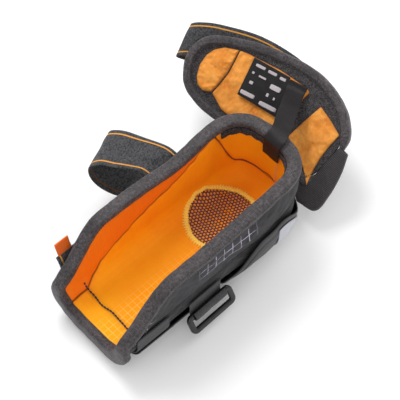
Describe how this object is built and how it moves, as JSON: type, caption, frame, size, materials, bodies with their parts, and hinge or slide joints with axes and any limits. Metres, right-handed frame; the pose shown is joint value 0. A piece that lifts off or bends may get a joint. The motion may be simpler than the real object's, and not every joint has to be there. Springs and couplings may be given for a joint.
{
  "type": "joint guard",
  "caption": "Padded limb guard: long lined trough with a hard cap and shell behind it, a flexing upper cuff, elastic straps and a strap ring.",
  "frame": {"origin": "on the resting plane under the middle of the padded window, where the flat crown of the cap stands", "axes": "+X towards the side with the strap ring, +Y along the limb towards the cuff, +Z out of the open side"},
  "size_m": [0.2369, 0.3444, 0.1059],
  "materials": {
    "lining": "woven ripstop, orange",
    "lining_side": "woven, deeper orange",
    "foam": "closed-cell foam",
    "cover": "charcoal fabric with a pale grid",
    "binding": "ribbed tape",
    "net": "open net over orange",
    "overlock": "overlocked thread",
    "cap": "moulded, matt",
    "plate": "moulded, matt",
    "accent": "light grey insert",
    "suede": "brushed knit, tan orange",
    "wing": "stretch fabric and ribbed elastic",
    "label": "black satin label",
    "elastic": "knitted elastic with two orange lines",
    "hook": "hook tape",
    "loop": "loop tape",
    "tab": "red-orange webbing",
    "satin": "black satin elastic",
    "webbing": "ribbed webbing",
    "ring_plastic": "polished black",
    "rivet": "dark rivet"
  },
  "bodies": {
    "shell": {"cap_accent_left": "accent", "cap_accent_right": "accent", "cap_pad": "foam", "cap_rivet_1": "rivet", "cap_rivet_2": "rivet", "cap_rivet_3": "rivet", "cap_rivet_4": "rivet", "foam_core": "foam", "joint_cap": "cap", "lining_center": "lining", "lining_end": "lining", "lining_left": "lining_side", "lining_right": "lining_side", "loop_patch": "loop", "mesh_ring": "overlock", "mesh_window": "net", "outer_cover": "cover", "plate_rivet_1": "rivet", "plate_rivet_2": "rivet", "plate_rivet_3": "rivet", "plate_rivet_4": "rivet", "rim_binding": "binding", "ring_keeper": "webbing", "shin_plate": "plate", "shin_strap": "elastic"},
    "joint_strap": {"joint_strap": "elastic", "joint_strap_hook": "hook"},
    "ring": {"strap_ring": "ring_plastic"},
    "shin_strap_end": {"shin_strap_end": "elastic", "pull_tab": "tab"},
    "cuff_strap": {"cuff_strap": "elastic", "cuff_strap_hook": "hook"},
    "cuff": {"cuff_binding": "binding", "cuff_cover": "cover", "cuff_foam": "foam", "cuff_lining_center": "suede", "cuff_lining_left": "suede", "cuff_lining_right": "suede", "cuff_plate": "plate", "cuff_wing": "wing", "care_label": "label", "link_strap": "satin", "hinge_web": "cover"}
  },
  "joints": [
    {"name": "cuff_flex", "type": "hinge", "parent": "shell", "child": "cuff", "pos_m": [0, 0.075, 0.0293], "axis": [0.9781, 0.2079, 0], "range_deg": [-20, 40], "deforming": ["link_strap", "hinge_web"]},
    {"name": "ring_swing", "type": "hinge", "parent": "shell", "child": "ring", "pos_m": [0.06, -0.078, 0.027], "axis": [0, 1, 0], "range_deg": [-130, 0]},
    {"name": "joint_strap_peel", "type": "hinge", "parent": "shell", "child": "joint_strap", "pos_m": [-0.0575, -0.022, 0.0733], "axis": [0, 1, 0], "range_deg": [0, 60]},
    {"name": "shin_strap_peel", "type": "hinge", "parent": "shell", "child": "shin_strap_end", "pos_m": [-0.0532, -0.141, 0.0283], "axis": [0, -1, 0], "range_deg": [0, 70]},
    {"name": "cuff_strap_peel", "type": "hinge", "parent": "cuff", "child": "cuff_strap", "pos_m": [-0.00444, 0.15266, 0.07319], "axis": [-0.1593, 0.7493, 0.6428], "range_deg": [-20, 0]}
  ]
}
